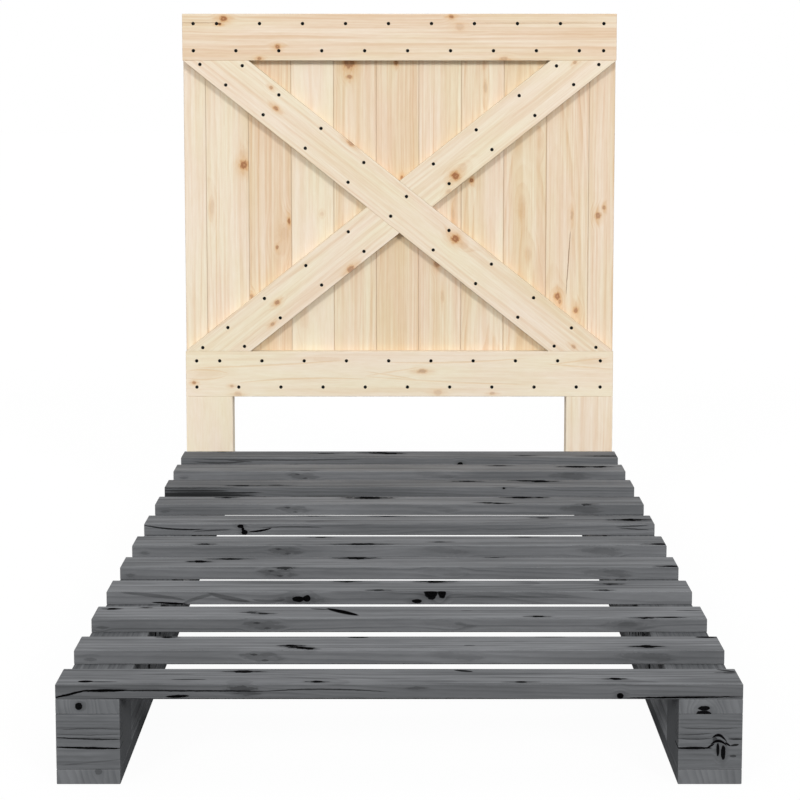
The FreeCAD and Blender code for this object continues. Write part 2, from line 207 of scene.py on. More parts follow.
class Tree:
    """Adds nodes to a node tree. An input is a socket, a number or a tuple."""

    def __init__(self, tree):
        self.tree = tree

    def node(self, kind, inputs=(), **settings):
        """Adds a node. Its settings come first, because they decide which inputs it has."""
        made = self.tree.nodes.new(kind)
        for name, value in settings.items():
            setattr(made, name, value)
        pairs = inputs.items() if isinstance(inputs, dict) else enumerate(inputs)
        for key, value in pairs:
            if isinstance(value, bpy.types.NodeSocket):
                self.tree.links.new(value, made.inputs[key])
            else:
                made.inputs[key].default_value = value
        return made

    def group(self, group, inputs):
        return self.node("ShaderNodeGroup", inputs, node_tree=group).outputs

    def math(self, operation, *inputs):
        return self.node("ShaderNodeMath", inputs, operation=operation).outputs[0]

    def times(self, first, second):
        return self.math("MULTIPLY", first, second)

    def linear(self, value, slope, start):
        """start plus slope times value."""
        return self.math("MULTIPLY_ADD", value, slope, start)

    def clamp(self, value):
        return self.math("MINIMUM", self.math("MAXIMUM", value, 0.0), 1.0)

    def smooth(self, value, zero_at, one_at):
        """0 at zero_at and 1 at one_at, with a soft start and end."""
        return self.node(
            "ShaderNodeMapRange",
            {"Value": value, "From Min": zero_at, "From Max": one_at},
            interpolation_type="SMOOTHSTEP",
        ).outputs[0]

    def vector(self, operation, *inputs):
        made = self.node("ShaderNodeVectorMath", inputs, operation=operation)
        return made.outputs["Value" if operation == "LENGTH" else "Vector"]

    def scale(self, vector, factor):
        inputs = {0: vector, "Scale": factor}
        return self.node("ShaderNodeVectorMath", inputs, operation="SCALE").outputs[0]

    def length(self, vector, shape):
        """The length of a vector whose parts are multiplied by shape first."""
        return self.vector("LENGTH", self.vector("MULTIPLY", vector, shape))

    def split(self, vector):
        return self.node("ShaderNodeSeparateXYZ", (vector,)).outputs

    def join(self, *parts):
        return self.node("ShaderNodeCombineXYZ", parts).outputs[0]

    def mix(self, share, first, second, blend="MIX"):
        inputs = {0: share, 6: first, 7: second}
        return self.node("ShaderNodeMix", inputs, data_type="RGBA", blend_type=blend).outputs[2]

    def noise(self, place, detail, roughness=0.5):
        """Noise as a value and as a colour."""
        made = self.node(
            "ShaderNodeTexNoise",
            {"Vector": place, "Scale": 1.0, "Detail": detail, "Roughness": roughness},
        )
        return made.outputs["Fac"], made.outputs["Color"]

    def pattern(self, place, patches):
        """Noise in patches along the grain. patches is one of the patterns in the wood."""
        along, across, detail, roughness = patches
        scaled = self.vector("MULTIPLY", place, (1 / along, 1 / across, 1 / across))
        return self.noise(scaled, detail, roughness)

    def ramp(self, value, stops):
        """A run of colours. stops are places and colours, from the lowest place to the highest."""
        made = self.node("ShaderNodeValToRGB", (value,))
        line = made.color_ramp
        first, *between, last = stops
        for stop, (place, colour) in zip(line.elements, (first, last)):
            stop.position = place
            stop.color = colour
        for place, colour in between:
            line.elements.new(place).color = colour
        return made.outputs[0]


class Group(Tree):
    """A node group. ins and outs give the names of its sockets by kind, with spaces between."""

    KINDS = {
        "vectors": "NodeSocketVector",
        "values": "NodeSocketFloat",
        "colours": "NodeSocketColor",
    }

    def __init__(self, name, ins, outs):
        super().__init__(bpy.data.node_groups.new(name, "ShaderNodeTree"))
        add_socket = self.tree.interface.new_socket
        for way, sockets in (("INPUT", ins), ("OUTPUT", outs)):
            for kind, names in sockets.items():
                for socket in names.split():
                    add_socket(socket, in_out=way, socket_type=self.KINDS[kind])
        self.inside = self.tree.nodes.new("NodeGroupInput").outputs

    def finish(self, **results):
        end = self.tree.nodes.new("NodeGroupOutput")
        for name, value in results.items():
            self.tree.links.new(value, end.inputs[name])
        return self.tree


def make_knot_group(name, body_span, tail_strength, ragged):
    """One knot: an ellipsoid in the board. It joins the knots before it and parts the grain."""
    g = Group(
        name,
        {"vectors": "Place Wobble Centre Radii Push", "values": "Strength Core Halo Eye"},
        {"vectors": "Push", "values": "Core Halo Eye"},
    )
    i = g.inside
    away = g.vector("SUBTRACT", i["Place"], i["Centre"])
    share = g.vector("DIVIDE", away, i["Radii"])
    wobbly = g.vector("ADD", share, g.vector("MULTIPLY", i["Wobble"], (ragged,) * 3))
    near = g.vector("LENGTH", wobbly)
    body = g.smooth(near, *body_span)
    tail = g.smooth(g.length(wobbly, KNOT_TAIL_SHAPE), *KNOT_TAIL_SPAN)
    tail = g.times(tail, tail_strength)
    core = g.times(g.math("MAXIMUM", body, tail), i["Strength"])
    halo = g.smooth(g.length(wobbly, KNOT_HALO_SHAPE), *KNOT_HALO_SPAN)
    halo = g.times(halo, i["Strength"])
    pull = g.smooth(g.length(share, KNOT_PUSH_SHAPE), *KNOT_PUSH_SPAN)
    push = g.scale(away, g.times(pull, KNOT_PUSH))
    push = g.vector("MULTIPLY", push, (0.0, 1.0, 1.0))
    return g.finish(
        Core=g.math("MAXIMUM", core, i["Core"]),
        Halo=g.math("MAXIMUM", halo, i["Halo"]),
        Eye=g.math("MINIMUM", near, i["Eye"]),
        Push=g.vector("ADD", push, i["Push"]),
    )


def make_crack_group():
    """One line on a face, thin at its ends; the lines are cracks, dark grain lines and a few lines
    of painted shade. It joins the ones before it.
    """
    g = Group(
        "crack",
        {"vectors": "Place Wobble Centre Half", "values": "Slope Bend Strength Crack"},
        {"values": "Crack"},
    )
    i = g.inside
    away = g.vector("SUBTRACT", i["Place"], i["Centre"])
    away = g.vector("ADD", away, g.vector("MULTIPLY", i["Wobble"], (0.0, 1.0, 0.0)))
    along, across, through = g.split(away)
    half_length, half_width, half_depth = g.split(i["Half"])
    share = g.math("DIVIDE", along, half_length)
    square = g.times(share, share)
    line = g.linear(along, g.times(i["Slope"], -1.0), across)
    line = g.linear(square, g.times(i["Bend"], -1.0), line)
    width = g.times(half_width, g.math("SUBTRACT", CRACK_MIDDLE_WIDTH, square))
    width = g.math("MAXIMUM", width, CRACK_LEAST_WIDTH)
    outer, inner = (g.times(width, part) for part in CRACK_EDGE_SPAN)
    body = g.smooth(g.math("ABSOLUTE", line), outer, inner)
    ends = g.smooth(g.math("ABSOLUTE", share), *CRACK_END_SPAN)
    full = g.times(half_depth, CRACK_FULL_DEPTH)
    depth = g.smooth(g.math("ABSOLUTE", through), half_depth, full)
    body = g.times(body, ends)
    body = g.times(body, g.times(depth, i["Strength"]))
    return g.finish(Crack=g.math("MAXIMUM", body, i["Crack"]))


def make_ring_group():
    """Growth rings round a pith line beside the board, with fibres, streaks and patches."""
    g = Group(
        "growth_rings",
        {"vectors": "Place Push Pith Seed", "values": "Spacing Taper Sway"},
        {"values": RING_VALUES},
    )
    i = g.inside
    seeded = g.vector("ADD", i["Place"], i["Seed"])
    middle = (0.5, 0.5, 0.5)
    slow = g.vector("SUBTRACT", g.pattern(seeded, SLOW_BENDS)[1], middle)
    quick = g.vector("SUBTRACT", g.pattern(seeded, QUICK_BENDS)[1], middle)
    quick = g.vector("MULTIPLY", quick, (0.0, QUICK_BEND_REACH, QUICK_BEND_REACH))
    bends = g.vector("ADD", g.scale(slow, i["Sway"]), quick)
    place = g.vector("ADD", g.vector("ADD", i["Place"], i["Push"]), bends)
    place = g.vector("SUBTRACT", place, i["Pith"])
    radius = g.length(place, (0.0, 1.0, 1.0))
    radius = g.linear(g.split(i["Place"])[0], i["Taper"], radius)
    count = g.math("DIVIDE", radius, i["Spacing"])
    uneven = g.node(
        "ShaderNodeTexNoise",
        {"W": g.times(count, RING_UNEVEN_RATE), "Scale": 1.0, "Detail": 1.0},
        noise_dimensions="1D",
    ).outputs["Fac"]
    count = g.linear(uneven, RING_UNEVEN, count)
    part = g.math("FRACT", count)
    late = g.times(g.smooth(part, *RING_LATE_SPAN), g.smooth(part, *RING_END_SPAN))
    own = g.node(
        "ShaderNodeTexWhiteNoise", {"W": g.math("FLOOR", count)}, noise_dimensions="1D"
    ).outputs["Value"]
    patch, blush = g.pattern(seeded, PATCHES)
    return g.finish(
        Ring=g.times(late, g.linear(own, *RING_BY_CHANCE)),
        Fibre=g.pattern(seeded, FIBRES)[0],
        Streak=g.smooth(g.pattern(seeded, STREAKS)[0], *STREAK_SPAN),
        Line=g.smooth(g.pattern(seeded, LINES)[0], *LINE_SPAN),
        Patch=g.smooth(patch, *PATCH_SPAN),
        Blush=g.smooth(g.split(blush)[2], *PATCH_SPAN),
        Grain=g.pattern(seeded, GRAIN)[0],
    )


def make_edge_group():
    """Edge is 1 on a box's edges, Side on its narrow long faces and End on its end grain."""
    g = Group(
        "edge", {"vectors": "Place Half", "values": "Reach"}, {"values": "Edge Side End"}
    )
    i = g.inside
    left = g.split(g.vector("SUBTRACT", i["Half"], g.vector("ABSOLUTE", i["Place"])))
    low = g.math("MINIMUM", left[0], left[1])
    high = g.math("MAXIMUM", left[0], left[1])
    second = g.math("MAXIMUM", low, g.math("MINIMUM", high, left[2]))
    return g.finish(
        Edge=g.smooth(second, i["Reach"], 0.0),
        Side=g.smooth(left[1], *FACE_SPAN),
        End=g.smooth(left[0], *FACE_SPAN),
    )


def knot_rings(g, share):
    """The knot's own fine rings, at a share of their full strength."""
    rings = g.math("SINE", g.times(g.inside["Eye"], KNOT_RING_RATE))
    return g.times(g.linear(rings, 0.5, 0.5), share)


def quieten(g, value, middle, share):
    """Brings a value toward its middle: share 1 leaves it as it is and share 0 flattens it."""
    return g.linear(g.math("SUBTRACT", value, middle), share, middle)


def calm_grain(g):
    """Streaks and dark lines, quieter on a board's narrow faces and end grain."""
    lively = g.math("SUBTRACT", 1.0, g.inside["Calm"])
    streak = quieten(g, g.inside["Streak"], 0.5, lively)
    return streak, g.times(g.inside["Line"], lively)


def fine_shade(g, fibre, grain):
    """Light and dark of the fibres and the coarser grain, near 1."""
    shade = g.linear(g.inside["Fibre"], *fibre)
    return g.times(shade, g.linear(g.inside["Grain"], *grain))


def depth_of_tone(g, streak, by_streak, by_patch, paler):
    """0 in the palest wood and 1 in the deepest, by streaks, patches and the board's tone."""
    depth = g.times(g.inside["Patch"], by_patch)
    depth = g.linear(streak, by_streak, depth)
    return g.clamp(g.math("ADD", depth, g.math("SUBTRACT", g.inside["Tone"], paler)))


def side_shade_and_end_grain(g, colour, side, end):
    """Painted shade on the narrow faces, and the darker colour of the end grain."""
    colour = g.mix(g.inside["Side"], colour, side, "MULTIPLY")
    return g.mix(g.inside["End"], colour, end, "MULTIPLY")


def relief(g, heights):
    """The surface's height: each pattern times its own height, added up."""
    total = 0.0
    for name, height in heights.items():
        total = g.linear(g.inside[name], height, total)
    return total


def pine_knot_colour(g):
    """A pale middle, a brown ring and a honey rim. Faint knots are pale all over."""
    i = g.inside
    knot = g.ramp(g.times(i["Eye"], KNOT_RAMP_SCALE), KNOT_RAMP)
    knot = g.mix(knot_rings(g, PINE_KNOT_RINGS), knot, KNOT_RIM)
    knot = g.mix(g.smooth(i["Core"], *PINE_BLACK_KNOT_SPAN), knot, KNOT_BLACK)
    return g.mix(g.smooth(i["Core"], *PINE_FAINT_KNOT_SPAN), KNOT_PALE, knot)


def make_pine_group():
    """Bare planed pine: pale early wood, amber late wood, honey round the knots, dark joints."""
    g = Group("bare_pine", FINISH_INPUTS, FINISH_OUTPUTS)
    i = g.inside
    streak, line = calm_grain(g)
    warmth = depth_of_tone(g, streak, PINE_STREAK_WARMTH, PINE_PATCH_WARMTH, PINE_COOLER)
    colour = g.mix(warmth, PINE_PALE, PINE_WARM)
    ring = g.times(i["Ring"], g.linear(streak, *PINE_RING_BY_STREAK))
    ring = g.math("MAXIMUM", ring, g.times(line, PINE_LINE))
    ring = g.times(ring, g.linear(i["Tone"], *PINE_RING_BY_TONE))
    colour = g.mix(ring, colour, PINE_LATE)
    colour = g.mix(1.0, colour, g.mix(i["Blush"], PINE_ROSY, PINE_SUNNY), "MULTIPLY")
    colour = g.mix(g.times(i["Halo"], PINE_HALO), colour, PINE_HONEY)
    colour = g.mix(i["Core"], colour, pine_knot_colour(g))
    crack = g.mix(g.smooth(i["Crack"], *PINE_FAINT_CRACK_SPAN), PINE_HONEY, PINE_CRACK)
    colour = g.mix(i["Crack"], colour, crack)
    colour = g.mix(g.times(i["Edge"], i["Joint"]), colour, JOINT_BROWN)
    colour = side_shade_and_end_grain(g, colour, PINE_SIDE_SHADE, PINE_END)
    shade = fine_shade(g, PINE_SHADE_BY_FIBRE, PINE_SHADE_BY_GRAIN)
    red = g.math("POWER", shade, PINE_SHADE_IN_RED)
    blue = g.math("POWER", shade, PINE_SHADE_IN_BLUE)
    colour = g.mix(1.0, colour, g.join(red, shade, blue), "MULTIPLY")
    rough = g.linear(i["Fibre"], *PINE_ROUGHNESS_BY_FIBRE)
    rough = g.linear(i["Core"], PINE_KNOT_ROUGHNESS, rough)
    return g.finish(Color=colour, Roughness=rough, Height=relief(g, PINE_RELIEF))


def make_grey_group():
    """Pine under a thin grey stain: grain shows through, knots and cracks go near black."""
    g = Group("grey_stain", FINISH_INPUTS, FINISH_OUTPUTS)
    i = g.inside
    streak, line = calm_grain(g)
    depth = depth_of_tone(g, streak, GREY_STREAK_DEPTH, GREY_PATCH_DEPTH, GREY_PALER)
    colour = g.mix(depth, GREY_PALE, GREY_DARK)
    deeper = g.math("MAXIMUM", g.math("SUBTRACT", i["Tone"], GREY_FULL_TONE), 0.0)
    colour = g.mix(deeper, colour, GREY_LATE)
    ring = g.times(i["Ring"], g.linear(streak, *GREY_RING_BY_STREAK))
    ring = g.times(ring, g.linear(i["Calm"], *GREY_RING_BY_CALM))
    ring = g.math("MAXIMUM", ring, g.times(line, GREY_LINE))
    colour = g.mix(ring, colour, GREY_LATE)
    colour = g.mix(g.times(i["Halo"], GREY_HALO), colour, GREY_LATE)
    wear = g.times(i["Edge"], g.smooth(i["Fibre"], *GREY_WEAR_SPAN))
    colour = g.mix(g.times(wear, GREY_WEAR), colour, GREY_WORN)
    knot = g.mix(knot_rings(g, GREY_KNOT_RINGS), GREY_BLACK, GREY_LATE)
    colour = g.mix(g.smooth(i["Core"], *GREY_KNOT_SPAN), colour, knot)
    colour = g.mix(i["Crack"], colour, GREY_BLACK)
    colour = side_shade_and_end_grain(g, colour, GREY_SIDE_SHADE, GREY_END)
    shade = fine_shade(g, GREY_SHADE_BY_FIBRE, GREY_SHADE_BY_GRAIN)
    shade = quieten(g, shade, 1.0, g.linear(i["Calm"], *GREY_SHADE_BY_CALM))
    colour = g.mix(1.0, colour, g.join(shade, shade, shade), "MULTIPLY")
    rough = g.linear(i["Fibre"], *GREY_ROUGHNESS_BY_FIBRE)
    return g.finish(Color=colour, Roughness=rough, Height=relief(g, GREY_RELIEF))


# Knots: where the body starts and is full, how strong its tails are and how ragged it is.
SOFT_KNOT = make_knot_group("soft_knot", (1.25, 0.55), 0.30, 0.65)
HARD_KNOT = make_knot_group("hard_knot", (1.10, 0.92), 1.0, 1.0)
ROUND_KNOT = make_knot_group("round_knot", (1.12, 0.90), 0.0, 0.42)
CRACK = make_crack_group()
RINGS = make_ring_group()
EDGE = make_edge_group()
PINE = make_pine_group()
GREY = make_grey_group()

# The braces cross at this height, fall by the rise over the run, and have these half sizes.
BRACE_MIDDLE = 645.0
BRACE_RUN = 755.0
BRACE_RISE = 600.0
BRACE_HALF = (540.0, 42.0, 10.0)

# A board's own directions: along its grain, across its face and through its thickness.
X = Vector((1, 0, 0))
Y = Vector((0, 1, 0))
Z = Vector((0, 0, 1))
ALONG_X_FLAT = (X, Y, Z)
ALONG_X_UPRIGHT = (X, Z, Vector((0, -1, 0)))
ALONG_Y_FLAT = (Y, Vector((-1, 0, 0)), Z)
ALONG_Y_UPRIGHT = (Y, Z, X)
ALONG_Z = (Z, X, Y)

# How far a board's seed moves its patterns in each direction.
SEED_STEP = (97.3, 41.9, 63.1)

# How deep marks go. A board whose half thickness is below this is marked from its middle.
THIN_HALF = 30.0
FACE_KNOT_DEPTH = 60.0
FACE_CRACK_DEPTH = 40.0
SLAT_CRACK_DEPTH = 6.0
# A knot on a slat's top is drawn wider and shorter than its table says, and less deep.
TOP_KNOT_WIDER = 1.35
TOP_KNOT_SHORTER = 0.85
TOP_KNOT_DEPTH = 0.8
# A knot on a slat's front edge is a dark one above this strength, and a faint one up to it.
DARK_EDGE_KNOT = 0.5
DARK_EDGE_KNOT_DEPTH = 4.0
FAINT_EDGE_KNOT_DEPTH = 12.0


class Board:
    """A CAD board, its own directions and the marks that its wood shows.

    pith is the place of the pith line across and through the board, spacing how far apart the
    rings are, taper how fast they widen along it and sway how far they bend. tone is how warm or
    dark the wood is, joint how dark its edges are, side how much painted shade its narrow faces
    get, and end how much its end grain is darkened.
    """

    def __init__(
        self, node, axes, seed, pith, spacing, taper, sway, tone, finish=PINE, joint=0.0,
        side=0.3, end=1.0,
    ):
        self.node = node
        self.turn = Matrix(axes)
        low, high = (corner * MM_PER_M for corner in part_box(node))
        self.middle = (low + high) / 2
        self.half = [abs(value) for value in self.turn @ ((high - low) / 2)]
        self.gloss = PINE_GLOSS if finish == PINE else GREY_GLOSS
        self.seed = tuple(seed * step for step in SEED_STEP)
        self.pith = (0.0, pith[0], pith[1])
        self.spacing, self.taper, self.sway = spacing, taper, sway
        self.tone, self.finish, self.joint = tone, finish, joint
        self.side, self.end = side, end
        self.knots = []
        self.cracks = []

    def lie_aslant(self, half):
        """Puts the board where the braces cross and gives it its half sizes."""
        self.middle = Vector((0.0, self.middle.y, BRACE_MIDDLE))
        self.half = half

    def local(self, point):
        return tuple(self.turn @ (Vector(point) - self.middle))

    def face(self, x, z):
        """The board's own place of a point that is seen from the front."""
        thin = self.half[2] < THIN_HALF
        front = self.middle.y if thin else self.middle.y - self.half[2]
        return self.local((x, front, z))

    def own_place(self, tree):
        """Each point's place along the grain, across the face and through the board."""
        return tree.node("ShaderNodeMapping", {
            "Vector": tree.node("ShaderNodeTexCoord").outputs["Object"],
            "Location": -(self.turn @ self.middle),
            "Rotation": self.turn.to_euler(),
            "Scale": (MM_PER_M,) * 3,
        }).outputs[0]

    def wobble(self, tree, place):
        """What makes the outlines of knots and cracks uneven."""
        seeded = tree.vector("ADD", place, self.seed)
        noise = tree.pattern(seeded, WOBBLES)[1]
        reach, middle = (WOBBLE_REACH,) * 3, (-WOBBLE_REACH / 2,) * 3
        return tree.vector("MULTIPLY_ADD", noise, reach, middle)

    def add_knots(self, tree, place, wobble):
        state = {"Core": 0.0, "Halo": 0.0, "Eye": FAR_FROM_KNOTS, "Push": (0.0, 0.0, 0.0)}
        for centre, radii, strength, kind in self.knots:
            made = tree.group(kind, {
                "Place": place, "Wobble": wobble, "Centre": centre, "Radii": radii,
                "Strength": strength, **state,
            })
            state = {name: made[name] for name in state}
        return state

    def add_cracks(self, tree, place, wobble):
        crack = 0.0
        along, across, through = tree.split(place)
        on_edge = tree.join(along, through, across)
        for edge, centre, half, slope, bend, strength in self.cracks:
            crack = tree.group(CRACK, {
                "Place": on_edge if edge else place, "Wobble": wobble, "Centre": centre,
                "Half": half, "Slope": slope, "Bend": bend, "Strength": strength,
                "Crack": crack,
            })["Crack"]
        return crack

    def looks(self, tree):
        """The board's colour, roughness and height."""
        place = self.own_place(tree)
        wobble = self.wobble(tree, place)
        knots = self.add_knots(tree, place, wobble)
        rings = tree.group(RINGS, {
            "Place": place, "Push": knots["Push"], "Pith": self.pith, "Spacing": self.spacing,
            "Taper": self.taper, "Sway": self.sway, "Seed": self.seed,
        })
        edge = tree.group(EDGE, {"Place": place, "Half": self.half, "Reach": EDGE_REACH})
        calm_side = tree.times(edge["Side"], SIDE_CALM)
        return tree.group(self.finish, {
            **{name: rings[name] for name in RING_VALUES.split()},
            **{name: knots[name] for name in KNOT_VALUES.split()},
            "Calm": tree.math("MAXIMUM", edge["End"], calm_side),
            "Crack": self.add_cracks(tree, place, wobble),
            "Edge": edge["Edge"],
            "Side": tree.times(edge["Side"], self.side),
            "End": tree.times(edge["End"], self.end),
            "Tone": self.tone,
            "Joint": self.joint,
        })

    def paint(self):
        """Builds the board's material and gives it to the board's slots."""
        material, tree = new_material("wood_" + self.node)
        looks = self.looks(tree)
        height = {"Strength": 1.0, "Distance": WOOD_HEIGHT, "Height": looks["Height"]}
        shader = tree.node("ShaderNodeBsdfPrincipled", {
            "Base Color": looks["Color"],
            "Roughness": looks["Roughness"],
            "Specular IOR Level": self.gloss,
            "Normal": tree.node("ShaderNodeBump", height).outputs[0],
        })
        tree.node("ShaderNodeOutputMaterial", (shader.outputs[0],))
        give_material([self.node], material)


def new_material(name):
    """A material with an empty node tree."""
    material = bpy.data.materials.new(name)
    material.use_nodes = True
    material.node_tree.nodes.clear()
    return material, Tree(material.node_tree)


def give_material(nodes, material):
    for node in nodes:
        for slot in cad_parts[node].material_slots:
            slot.material = material


def metal(name, nodes, colour, roughness, metallic, scratch):
    """Plated or coated steel with fine mottling in its gloss."""
    material, tree = new_material(name)
    place = tree.node("ShaderNodeTexCoord").outputs["Object"]
    fine, broad = (
        tree.noise(tree.vector("MULTIPLY", place, (rate,) * 3), detail)[0]
        for rate, detail in (METAL_FINE, METAL_BROAD)
    )
    dark = tuple(value * METAL_DARKER for value in colour[:3]) + (1.0,)
    height = {"Strength": METAL_RELIEF, "Distance": METAL_HEIGHT, "Height": fine}
    shader = tree.node("ShaderNodeBsdfPrincipled", {
        "Base Color": tree.mix(tree.smooth(broad, *METAL_BROAD_SPAN), colour, dark),
        "Roughness": tree.linear(fine, scratch, roughness),
        "Metallic": metallic,
        "Specular IOR Level": METAL_SPECULAR,
        "Normal": tree.node("ShaderNodeBump", height).outputs[0],
    })
    tree.node("ShaderNodeOutputMaterial", (shader.outputs[0],))
    give_material(nodes, material)


def face_knots(board, places):
    """Knots seen from the front: x, z, radius, stretch along the grain, strength."""
    kind = SOFT_KNOT if board.finish == PINE else ROUND_KNOT
    for x, z, radius, stretch, strength in places:
        radii = (radius * stretch, radius, FACE_KNOT_DEPTH)
        board.knots.append((board.face(x, z), radii, strength, kind))


def face_cracks(board, places):
    """Lines seen from the front: x, z, half length, half width, slope, bend, strength."""
    for x, z, half, width, slope, bend, strength in places:
        size = (half, width, FACE_CRACK_DEPTH)
        board.cracks.append((False, board.face(x, z), size, slope, bend, strength))


def top_knots(board, places):
    """Knots on a slat's top: x, place across the slat, radius, stretch, strength."""
    for x, across, radius, stretch, strength in places:
        radius *= TOP_KNOT_WIDER
        stretch *= TOP_KNOT_SHORTER
        radii = (radius * stretch, radius, radius * TOP_KNOT_DEPTH)
        board.knots.append(((x, across, board.half[2]), radii, strength, HARD_KNOT))


def edge_knots(board, places):
    """Knots on a slat's front edge: x, height from its middle, radius, stretch, strength."""
    for x, height, radius, stretch, strength in places:
        dark = strength > DARK_EDGE_KNOT
        kind = ROUND_KNOT if dark else HARD_KNOT
        depth = DARK_EDGE_KNOT_DEPTH if dark else FAINT_EDGE_KNOT_DEPTH
        centre = (x, -board.half[1], height)
        board.knots.append((centre, (radius * stretch, depth, radius), strength, kind))


def top_cracks(board, places):
    """Lines on a slat's top: x and place across, half length, half width, slope, strength."""
    for x, across, half, width, slope, strength in places:
        centre = (x, across, board.half[2])
        size = (half, width, SLAT_CRACK_DEPTH)
        board.cracks.append((False, centre, size, slope, 0.0, strength))


def edge_cracks_and_shade_lines(board, places):
    """Lines on a slat's front edge: x, height, half length, half width, slope, bend, strength."""
    for x, height, half, width, slope, bend, strength in places:
        centre = (x, height, -board.half[1])
        size = (half, width, SLAT_CRACK_DEPTH)
        board.cracks.append((True, centre, size, slope, bend, strength))


# Slats: pith place across and through, ring spacing, taper, sway, tone.
SLAT_WOOD = {
    1: ((-30, -62), 5.5, 0.030, 20, 0.35),
    2: ((40, -120), 6.5, 0.010, 12, 0.18),
    3: ((-70, -110), 6.0, -0.012, 12, 0.12),
    4: ((25, -58), 6.0, 0.028, 24, 0.22),
    5: ((60, -120), 6.5, 0.012, 12, 0.20),
    6: ((-50, -130), 6.5, -0.010, 12, 0.26),
    7: ((-20, -60), 6.0, -0.030, 24, 0.28),
    8: ((55, -105), 6.5, 0.010, 14, 0.28),
    9: ((-35, -64), 6.0, 0.026, 20, 0.46),
    10: ((30, -125), 6.5, -0.012, 12, 0.24),
    11: ((-45, -70), 6.0, 0.020, 18, 0.34),
}
# How much painted shade darkens a slat's narrow faces below its top. The three nearest slats have
# shares of their own.
SLAT_SIDE_SHADE = 0.65
SLAT_SIDE_SHADES = {1: 1.0, 2: 0.75, 3: 0.80}
# Marks on the slats by number, as top_knots, edge_knots, top_cracks and edge_cracks_and_shade_lines read them.
SLAT_TOP_KNOTS = {
    1: [(-207, 27, 5, 2.4, 0.8), (-108, -29, 4, 1.9, 1), (286, -13, 4, 1.8, 1),
        (440, 22, 4, 2, 0.5)],
    2: [(-328, 38, 5, 1.4, 1), (-150, -16, 5.5, 1.5, 1), (-136, -27, 5.5, 1.5, 1),
        (-124, -34, 4, 1.4, 1), (345, -20, 6, 1.8, 1)],
    3: [(-427, 26, 4.5, 1.4, 1), (-378, 34, 3, 1.6, 0.7), (-218, 2, 4.5, 1.8, 0.62),
        (-200, -7, 3.6, 2.4, 0.75), (204, -26, 4, 2.2, 1), (361, -36, 4, 2.6, 1),
        (397, -32, 3, 3.2, 0.9)],
    4: [(-82, 34, 4.5, 2.2, 0.8), (-31, -31, 4, 2.2, 0.7), (57, 33, 7, 2, 1),
        (329, 15, 5, 2, 0.7), (315, -31, 4, 2, 0.7)],
    5: [(-326, 4, 7, 1.3, 1), (-278, 26, 5, 3.4, 1), (-184, -42, 4, 2, 0.6),
        (-71, 34, 8.5, 1.9, 1), (157, 41, 4, 2, 0.6), (440, -34, 5, 2.5, 1)],
    6: [(-329, -29, 5, 1.8, 0.8), (-62, -30, 6, 3.6, 1), (-135, 33, 4.5, 2.4, 0.7),
        (69, -10, 4, 2.5, 0.6), (214, 37, 4.5, 2.5, 0.7), (441, -29, 5, 2.8, 1)],
    7: [(-154, 39, 4.5, 2.8, 0.9), (-21, 39, 6, 2.4, 1), (256, 18, 4.5, 2.4, 0.7),
        (412, -2, 9, 1.9, 1)],
    8: [(-323, 30, 5, 2, 0.9), (-57, 28, 10, 2.2, 1), (162, -24, 4, 2.6, 0.9),
        (184, -32, 4, 2.8, 1), (228, 33, 8, 2.2, 1), (262, 33, 5, 1.6, 0.9),
        (344, -38, 4, 2.5, 0.6)],
    9: [(-303, -26, 5, 3, 1), (-237, -20, 3.5, 4.5, 0.7), (131, 26, 5, 3, 0.8),
        (244, 33, 5, 3, 1), (272, 27, 9, 1.7, 1)],
    10: [(201, 27, 5, 2.6, 0.8), (358, 14, 9, 2, 1), (402, 14, 7, 1.8, 1),
         (-190, -30, 4, 3, 0.4)],
    11: [(-372, 35, 4, 2.8, 0.8), (-155, 12, 4.5, 3.6, 0.7), (-42, 22, 8, 2.4, 1),
         (-20, 12, 7, 2.2, 1), (258, -18, 4, 3.5, 0.7), (425, -22, 5, 5, 1)],
}
SLAT_EDGE_KNOTS = {
    1: [(289, -5.5, 4, 1.1, 1), (-207, 4, 4.5, 2.4, 0.42), (-198, -2, 3, 3, 0.34),
        (24, 5, 2, 4, 0.35)],
    4: [(-155, -1.6, 4.6, 2, 1), (-142, -0.3, 5, 1.2, 1), (-152, -3, 7, 3, 0.30),
        (49, 10, 11.5, 0.9, 1), (65.5, 9, 9.5, 0.65, 1), (27, -4.6, 3, 2.6, 1)],
    7: [(-280, 6, 3.4, 1.6, 1), (-273, -5, 4.6, 1.2, 1), (-276, 1, 3.6, 0.7, 1)],
    9: [(200, 8, 1.9, 1.5, 0.9)],
    11: [(125, -4, 4.5, 1.3, 1)],
}
